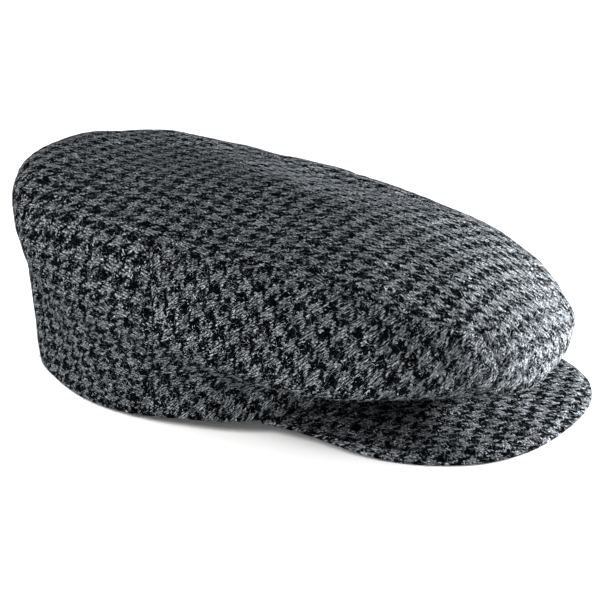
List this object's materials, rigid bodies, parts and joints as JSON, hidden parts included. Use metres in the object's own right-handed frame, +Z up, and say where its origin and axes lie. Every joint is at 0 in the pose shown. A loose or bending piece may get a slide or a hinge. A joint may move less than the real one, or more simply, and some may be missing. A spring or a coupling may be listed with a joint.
{
  "type": "flat cap",
  "caption": "Flat cap of houndstooth wool cloth, its full crown sloping forward onto a stiff peak, with an open hollow for the head.",
  "frame": {"origin": "on the surface that the cap rests on, under the middle of the overall box", "axes": "+Z up out of the crown, -Y towards the peak at the front, -X towards the wearer's right"},
  "size_m": [0.1976, 0.2819, 0.0989],
  "materials": {
    "houndstooth_wool": "matte brushed wool in a dark and mid grey houndstooth check"
  },
  "bodies": {
    "root": {"top_panel": "houndstooth_wool", "side_panel_right": "houndstooth_wool", "side_panel_left": "houndstooth_wool", "peak": "houndstooth_wool"}
  },
  "joints": []
}
